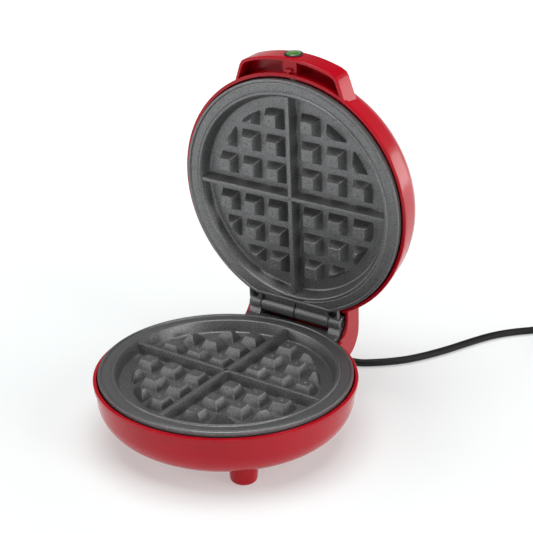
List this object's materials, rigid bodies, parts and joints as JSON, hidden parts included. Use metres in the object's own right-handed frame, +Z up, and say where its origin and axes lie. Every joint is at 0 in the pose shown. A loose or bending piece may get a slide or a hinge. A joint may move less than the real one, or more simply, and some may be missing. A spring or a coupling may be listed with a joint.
{
  "type": "waffle maker",
  "caption": "Round countertop waffle maker with a hinged lid, non-stick grid plates, a pocket handle with indicator light and a coiled power cord.",
  "frame": {"origin": "on the table, below the middle of the open waffle maker's box, without its cord", "axes": "+X to the right seen from the front, +Y to the hinge at the rear, +Z up"},
  "size_m": [0.3863, 0.4455, 0.2919],
  "materials": {
    "red_plastic": "moulded, high gloss, deep red",
    "nonstick_coating": "cast aluminium with a dark grey satin non-stick coating",
    "stainless_steel": "plain stainless steel",
    "blackened_steel": "black oxide steel",
    "sheet_aluminium": "pressed bright sheet",
    "brass": "rolled, satin",
    "rubber": "matte black",
    "black_plastic": "satin black",
    "green_lens": "translucent green, polished",
    "ceramic": "unglazed white steatite",
    "clear_glass": "clear lamp glass",
    "braided_sleeve": "woven glass-fibre sleeve"
  },
  "bodies": {
    "base": {"base_shell": "red_plastic", "cord_coil": "black_plastic", "foot_pad_front_left": "rubber", "foot_pad_front_right": "rubber", "foot_pad_rear_left": "rubber", "foot_pad_rear_right": "rubber", "fuse_clip": "sheet_aluminium", "hinge_pin": "blackened_steel", "lid_cable": "rubber", "live_lead": "braided_sleeve", "lower_heater": "stainless_steel", "lower_plate": "nonstick_coating", "lower_reflector": "sheet_aluminium", "neutral_lead": "braided_sleeve", "plate_screw_front": "stainless_steel", "plate_screw_left": "stainless_steel", "plate_screw_rear": "stainless_steel", "plate_screw_right": "stainless_steel", "plug_blade_left": "brass", "plug_blade_right": "brass", "plug_body": "black_plastic", "plug_lead": "black_plastic", "power_cord": "black_plastic", "strain_relief": "black_plastic", "terminal_block": "ceramic", "thermal_fuse": "braided_sleeve", "thermostat": "ceramic"},
    "lid": {"lid_shell": "red_plastic", "upper_plate": "nonstick_coating", "upper_heater": "stainless_steel", "upper_reflector": "sheet_aluminium", "tab_screw_left": "blackened_steel", "tab_screw_right": "blackened_steel", "lens_bezel": "black_plastic", "indicator_lens": "green_lens", "indicator_lamp": "clear_glass", "lamp_holder": "ceramic", "lamp_lead": "braided_sleeve", "heater_feed": "braided_sleeve"}
  },
  "joints": [
    {"name": "lid_hinge", "type": "hinge", "parent": "base", "child": "lid", "pos_m": [0, 0.08816, 0.0655], "axis": [1, 0, 0], "range_deg": [0, 86], "deforming": ["lid_cable"]}
  ]
}
